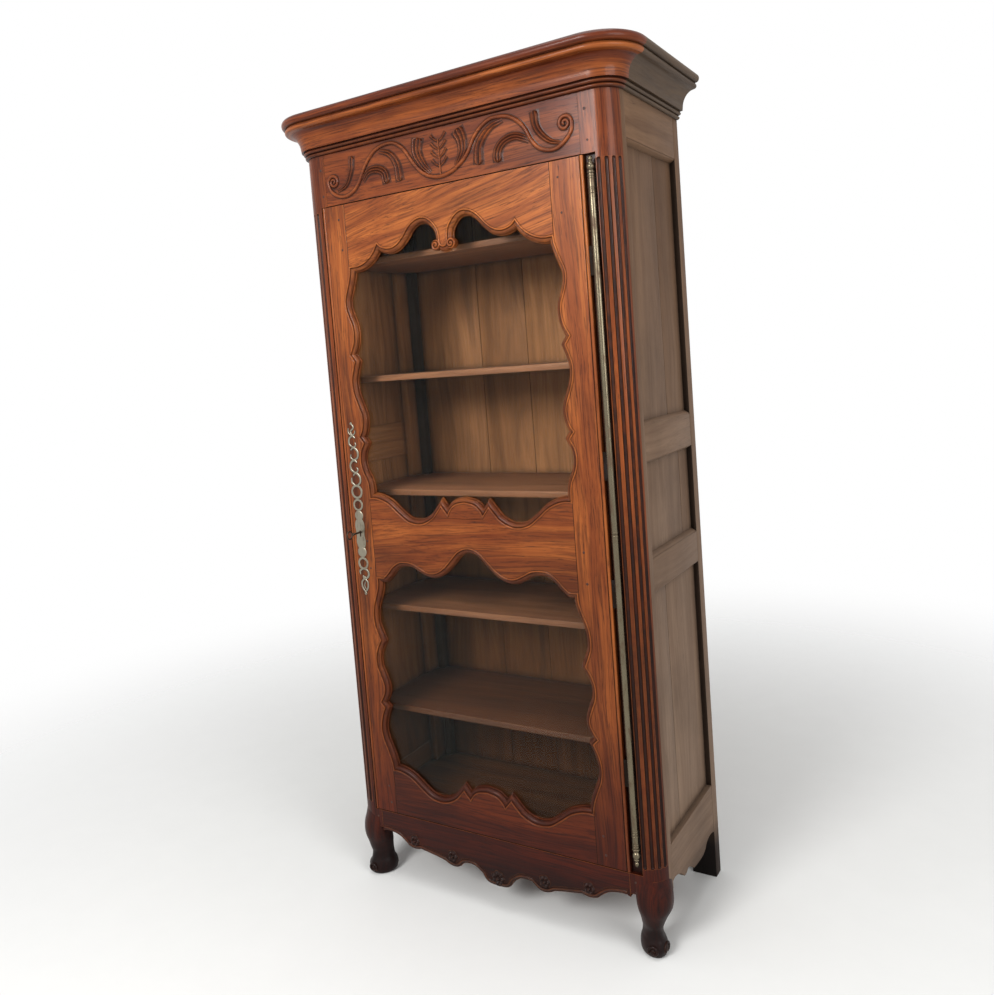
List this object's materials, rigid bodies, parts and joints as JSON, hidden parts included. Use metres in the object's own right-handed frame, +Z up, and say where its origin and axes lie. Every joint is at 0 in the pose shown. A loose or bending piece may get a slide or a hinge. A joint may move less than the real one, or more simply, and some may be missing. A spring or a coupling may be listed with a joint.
{
  "type": "glazed bonnetiere cabinet",
  "caption": "Tall narrow wooden display cabinet with a moulded cornice, carved frieze, one door of scalloped panes on a full-height barrel hinge, shelves and a shaped apron on scroll feet.",
  "frame": {"origin": "on the floor under the middle of the whole cabinet, cornice included", "axes": "+Z up, the door faces -Y, +X to the right seen from the front"},
  "size_m": [1.111, 0.503, 2.25],
  "materials": {
    "front_wood": "waxed walnut with a soft sheen",
    "side_wood": "faded waxed walnut",
    "inner_wood": "dry unpolished wood",
    "hinge_steel": "aged bright steel",
    "plate_steel": "aged pierced plate",
    "lock_iron": "dark old iron",
    "pane_glass": "clear old glass"
  },
  "bodies": {
    "carcass": {"front_post_left": "front_wood", "front_post_right": "front_wood", "back_post_left": "side_wood", "back_post_right": "side_wood", "frieze_rail": "front_wood", "apron_rail": "front_wood", "side_bottom_rail_left": "side_wood", "side_lower_middle_rail_left": "side_wood", "side_upper_middle_rail_left": "side_wood", "side_top_rail_left": "side_wood", "side_bottom_rail_right": "side_wood", "side_lower_middle_rail_right": "side_wood", "side_upper_middle_rail_right": "side_wood", "side_top_rail_right": "side_wood", "side_lower_panel_left": "side_wood", "side_middle_panel_left": "side_wood", "side_upper_panel_left": "side_wood", "side_lower_panel_right": "side_wood", "side_middle_panel_right": "side_wood", "side_upper_panel_right": "side_wood", "back_bottom_rail": "inner_wood", "back_top_rail": "inner_wood", "back_board_1": "inner_wood", "back_board_2": "inner_wood", "back_board_3": "inner_wood", "back_board_4": "inner_wood", "top_board": "inner_wood", "floor_board": "inner_wood", "shelf_batten_front_left": "inner_wood", "shelf_batten_back_left": "inner_wood", "shelf_batten_front_right": "inner_wood", "shelf_batten_back_right": "inner_wood", "shelf_1": "inner_wood", "shelf_2": "inner_wood", "shelf_3": "inner_wood", "shelf_4": "inner_wood", "shelf_5": "inner_wood", "cornice_front": "front_wood", "cornice_right": "side_wood", "cornice_left": "side_wood", "cornice_back": "inner_wood", "hinge_lower_knuckle": "hinge_steel", "hinge_upper_knuckle": "hinge_steel", "lock_keeper": "lock_iron"},
    "door": {"hinge_lower_barrel": "hinge_steel", "hinge_upper_barrel": "hinge_steel", "door_top_rail": "front_wood", "door_middle_rail": "front_wood", "door_bottom_rail": "front_wood", "door_lock_stile": "front_wood", "door_hinge_stile": "front_wood", "upper_pane": "pane_glass", "upper_glazing_bead": "inner_wood", "lower_pane": "pane_glass", "lower_glazing_bead": "inner_wood", "lock_case": "lock_iron", "escutcheon": "plate_steel"},
    "key": {"key": "lock_iron"},
    "bolt": {"lock_bolt": "hinge_steel"}
  },
  "joints": [
    {"name": "door_swing", "type": "hinge", "parent": "carcass", "child": "door", "pos_m": [0.421, -0.186, 0], "axis": [0, 0, 1], "range_deg": [0, 165]},
    {"name": "key_turn", "type": "hinge", "parent": "door", "child": "key", "pos_m": [-0.386, -0.186, 1.06], "axis": [0, -1, 0], "range_deg": [0, 180]},
    {"name": "bolt_slide", "type": "slide", "parent": "door", "child": "bolt", "axis": [-1, 0, 0], "range_m": [0, 0.0141]}
  ],
  "couplings": [
    {"joint": "bolt_slide", "follows": "key_turn", "m_per_rad": 0.004456}
  ]
}
